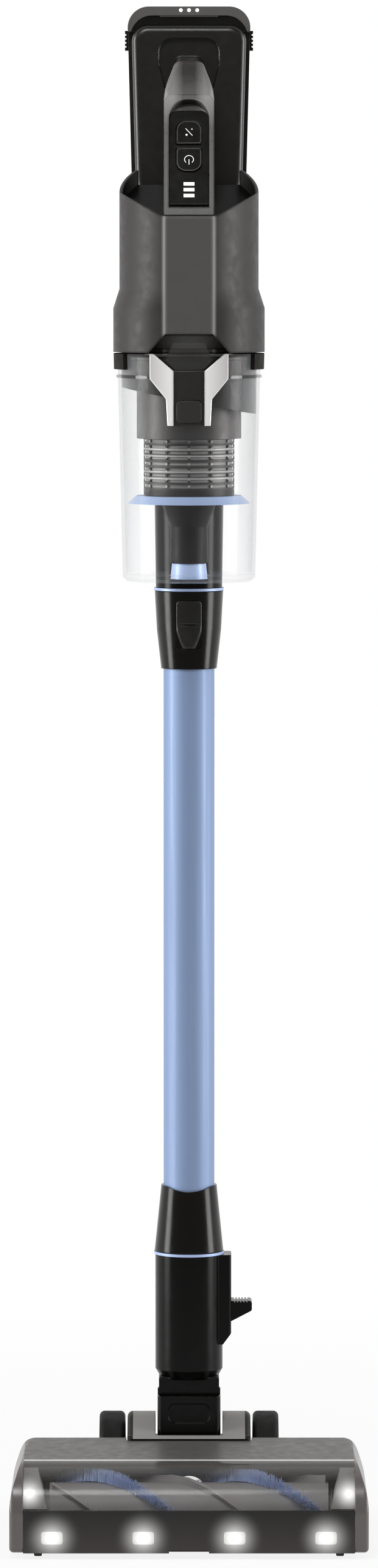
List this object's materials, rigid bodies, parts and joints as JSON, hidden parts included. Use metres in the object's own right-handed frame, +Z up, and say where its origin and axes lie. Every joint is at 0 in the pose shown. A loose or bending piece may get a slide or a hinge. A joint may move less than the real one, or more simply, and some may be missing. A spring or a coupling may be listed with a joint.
{
  "type": "upright vacuum cleaner",
  "caption": "Cordless stick vacuum with a lit brush head, slim wand, clear cyclone cup, loop handle and a slide-off battery; the neck tilts and rolls.",
  "frame": {"origin": "on the floor, under the middle of the whole outline", "axes": "+Z up the wand, -Y the front that the picture shows, +X the right of the picture"},
  "size_m": [0.252, 0.1998, 1.086],
  "materials": {
    "housing_grey": "satin metallic grey",
    "head_grey": "satin mid grey",
    "cheek_grey": "gloss dark grey",
    "black_plastic": "gloss black",
    "matte_black": "matt black",
    "band_grey": "fine texture",
    "smoked_window": "smoked clear plastic",
    "clear_plastic": "clear plastic",
    "lamp_white": "lit lens",
    "blue_metal": "satin blue",
    "blue_plastic": "satin blue",
    "bristle_blue": "soft nylon",
    "fin_grey": "satin",
    "steel": "brushed",
    "silver_plastic": "silver",
    "tyre_rubber": "matt black",
    "shroud_grey": "satin",
    "filter_foam": "foam",
    "board_green": "circuit board",
    "cell_green": "wrapped cells",
    "hose_black": "ribbed",
    "belt_rubber": "matt"
  },
  "bodies": {
    "head": {"head_chassis": "matte_black", "head_cover": "head_grey", "brush_window": "smoked_window", "lamp_bar": "black_plastic", "lamp_lenses": "lamp_white", "end_cap_right": "cheek_grey", "end_cap_left": "cheek_grey", "brush_motor": "steel", "drive_belt": "belt_rubber", "neck_yoke": "head_grey", "yoke_pins": "steel"},
    "brush": {"brush_core": "fin_grey", "brush_bristles": "bristle_blue"},
    "drive": {"motor_pulley": "steel"},
    "roller_r": {"roller_right": "tyre_rubber"},
    "roller_l": {"roller_left": "tyre_rubber"},
    "wheel_r": {"wheel_right": "tyre_rubber"},
    "wheel_l": {"wheel_left": "tyre_rubber"},
    "knuckle_block": {"knuckle": "matte_black", "roll_pins": "steel", "neck_hose": "hose_black"},
    "neck": {"neck_tube": "matte_black", "lower_trim_ring": "blue_plastic"},
    "foot_pedal": {"pedal": "matte_black"},
    "wand": {"wand_tube": "blue_metal", "wand_lower_collar": "black_plastic", "wand_upper_collar": "black_plastic"},
    "wand_catch": {"wand_button": "black_plastic"},
    "hand_unit": {"suction_tube": "matte_black", "upper_trim_ring": "blue_plastic", "main_housing": "housing_grey", "rear_cover": "housing_grey", "top_deck": "matte_black", "handle_frame": "black_plastic", "control_panel": "black_plastic", "charge_bars": "lamp_white", "motor": "steel", "pre_filter": "filter_foam", "control_board": "board_green"},
    "mode_key": {"mode_button": "black_plastic"},
    "power_key": {"power_button": "black_plastic"},
    "impeller": {"fan": "matte_black"},
    "battery": {"battery_case": "band_grey", "battery_cells": "cell_green", "battery_leds": "lamp_white"},
    "side_latch_r": {"battery_latch_right": "black_plastic"},
    "side_latch_l": {"battery_latch_left": "black_plastic"},
    "cup": {"dust_cup": "clear_plastic", "lid_hinge_pin": "steel", "shroud": "shroud_grey", "mesh_screen": "steel", "skirt": "blue_plastic", "cone": "matte_black", "latch_frame": "silver_plastic", "latch_insert": "black_plastic", "latch_tab": "smoked_window", "side_clips": "black_plastic"},
    "cup_catch": {"cup_button": "black_plastic"},
    "lid": {"cup_lid": "clear_plastic", "cone_plug": "blue_plastic"}
  },
  "joints": [
    {"name": "brush_spin", "type": "hinge", "parent": "head", "child": "brush", "pos_m": [0, -0.0659, 0.03], "axis": [1, 0, 0], "continuous": true},
    {"name": "drive_spin", "type": "hinge", "parent": "head", "child": "drive", "pos_m": [0, -0.0072, 0.0218], "axis": [1, 0, 0], "continuous": true},
    {"name": "roller_right_spin", "type": "hinge", "parent": "head", "child": "roller_r", "pos_m": [0.106, -0.0869, 0.008], "axis": [1, 0, 0], "continuous": true},
    {"name": "roller_left_spin", "type": "hinge", "parent": "head", "child": "roller_l", "pos_m": [-0.106, -0.0869, 0.008], "axis": [1, 0, 0], "continuous": true},
    {"name": "wheel_right_spin", "type": "hinge", "parent": "head", "child": "wheel_r", "pos_m": [0, 0.0601, 0.0398], "axis": [1, 0, 0], "continuous": true},
    {"name": "wheel_left_spin", "type": "hinge", "parent": "head", "child": "wheel_l", "pos_m": [0, 0.0601, 0.0398], "axis": [1, 0, 0], "continuous": true},
    {"name": "tilt_back", "type": "hinge", "parent": "head", "child": "knuckle_block", "pos_m": [0, 0.0371, 0.062], "axis": [-1, 0, 0], "range_deg": [0, 75]},
    {"name": "roll_side", "type": "hinge", "parent": "knuckle_block", "child": "neck", "pos_m": [0, 0.0371, 0.084], "axis": [0, 1, 0], "range_deg": [-25, 25], "deforming": ["neck_hose"]},
    {"name": "pedal_press", "type": "slide", "parent": "neck", "child": "foot_pedal", "axis": [0, 0, -1], "range_m": [0, 0.005], "stiffness_N_per_m": 600, "springref_m": -0.0005},
    {"name": "wand_pull", "type": "slide", "parent": "neck", "child": "wand", "axis": [0, 0, 1], "range_m": [0, 0.05]},
    {"name": "wand_catch_press", "type": "slide", "parent": "wand", "child": "wand_catch", "axis": [0, 1, 0], "range_m": [0, 0.0015], "stiffness_N_per_m": 600, "springref_m": -0.0005},
    {"name": "hand_pull", "type": "slide", "parent": "wand", "child": "hand_unit", "axis": [0, 0, 1], "range_m": [0, 0.05]},
    {"name": "mode_press", "type": "slide", "parent": "hand_unit", "child": "mode_key", "axis": [0, 0.8891, -0.4577], "range_m": [0, 0.0012], "stiffness_N_per_m": 600, "springref_m": -0.0005},
    {"name": "power_press", "type": "slide", "parent": "hand_unit", "child": "power_key", "axis": [0, 0.8891, -0.4577], "range_m": [0, 0.0012], "stiffness_N_per_m": 600, "springref_m": -0.0005},
    {"name": "fan_spin", "type": "hinge", "parent": "hand_unit", "child": "impeller", "pos_m": [0, -0.0419, 0.86275], "axis": [0, 0, 1], "continuous": true},
    {"name": "battery_lift", "type": "slide", "parent": "hand_unit", "child": "battery", "axis": [0, 0, 1], "range_m": [0, 0.14]},
    {"name": "side_latch_right_press", "type": "slide", "parent": "battery", "child": "side_latch_r", "axis": [-1, 0, 0], "range_m": [0, 0.002], "stiffness_N_per_m": 600, "springref_m": -0.0005},
    {"name": "side_latch_left_press", "type": "slide", "parent": "battery", "child": "side_latch_l", "axis": [1, 0, 0], "range_m": [0, 0.002], "stiffness_N_per_m": 600, "springref_m": -0.0005},
    {"name": "cup_pull", "type": "slide", "parent": "hand_unit", "child": "cup", "axis": [0, -1, 0], "range_m": [0, 0.14]},
    {"name": "cup_catch_press", "type": "slide", "parent": "cup", "child": "cup_catch", "axis": [0, 1, 0], "range_m": [0, 0.0014], "stiffness_N_per_m": 600, "springref_m": -0.0005},
    {"name": "lid_swing", "type": "hinge", "parent": "cup", "child": "lid", "pos_m": [0, 0.0069, 0.6855], "axis": [1, 0, 0], "range_deg": [0, 75]}
  ],
  "couplings": [
    {"joint": "drive_spin", "follows": "brush_spin", "ratio": 2}
  ]
}
